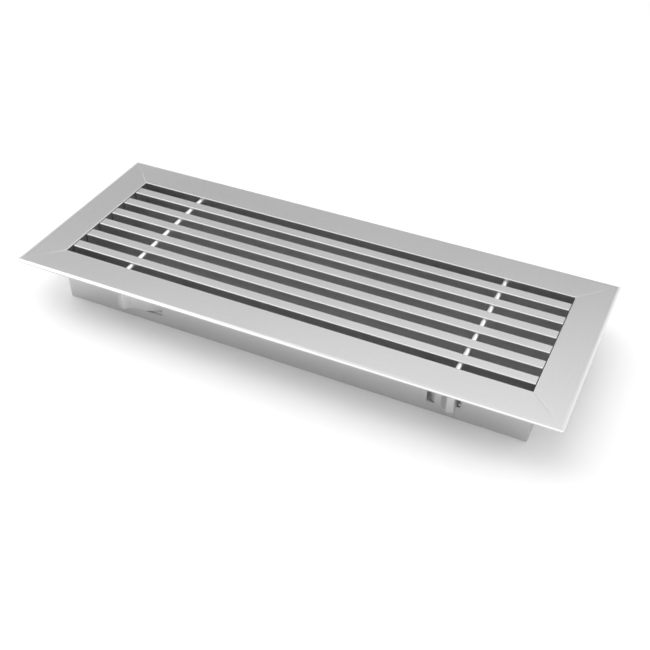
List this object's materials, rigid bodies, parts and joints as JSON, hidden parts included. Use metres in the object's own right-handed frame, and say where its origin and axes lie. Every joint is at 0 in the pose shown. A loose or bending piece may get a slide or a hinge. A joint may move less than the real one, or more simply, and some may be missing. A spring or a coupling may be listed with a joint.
{
  "type": "linear bar grille",
  "caption": "Linear bar grille: a mitred flanged frame with a neck, straight bars on two cross rods, and spring clips that hold it in a duct opening.",
  "frame": {"origin": "centre of the grille on the plane of the neck's lower edge, on which it stands", "axes": "+X along the bars, +Y across them towards the back, +Z out of the grille's face"},
  "size_m": [0.315, 0.1216, 0.033],
  "materials": {
    "frame": "satin anodised",
    "bars": "satin anodised",
    "rods": "drawn, bright",
    "brackets": "mill finish",
    "clips": "bright spring steel strip"
  },
  "bodies": {
    "grille": {"frame_front": "frame", "frame_back": "frame", "frame_left": "frame", "frame_right": "frame", "bar_1": "bars", "bar_2": "bars", "bar_3": "bars", "bar_4": "bars", "bar_5": "bars", "bar_6": "bars", "cross_rod_left": "rods", "cross_rod_right": "rods", "bracket_front_left": "brackets", "bracket_front_right": "brackets", "bracket_back_left": "brackets", "bracket_back_right": "brackets"},
    "clip_front_left": {"clip_front_left": "clips"},
    "clip_front_right": {"clip_front_right": "clips"},
    "clip_back_left": {"clip_back_left": "clips"},
    "clip_back_right": {"clip_back_right": "clips"}
  },
  "joints": [
    {"name": "clip_front_left_press", "type": "slide", "parent": "grille", "child": "clip_front_left", "axis": [0, 1, 0], "range_m": [0, 0.0027], "stiffness_N_per_m": 800},
    {"name": "clip_front_right_press", "type": "slide", "parent": "grille", "child": "clip_front_right", "axis": [0, 1, 0], "range_m": [0, 0.0027], "stiffness_N_per_m": 800},
    {"name": "clip_back_left_press", "type": "slide", "parent": "grille", "child": "clip_back_left", "axis": [0, -1, 0], "range_m": [0, 0.0027], "stiffness_N_per_m": 800},
    {"name": "clip_back_right_press", "type": "slide", "parent": "grille", "child": "clip_back_right", "axis": [0, -1, 0], "range_m": [0, 0.0027], "stiffness_N_per_m": 800}
  ]
}
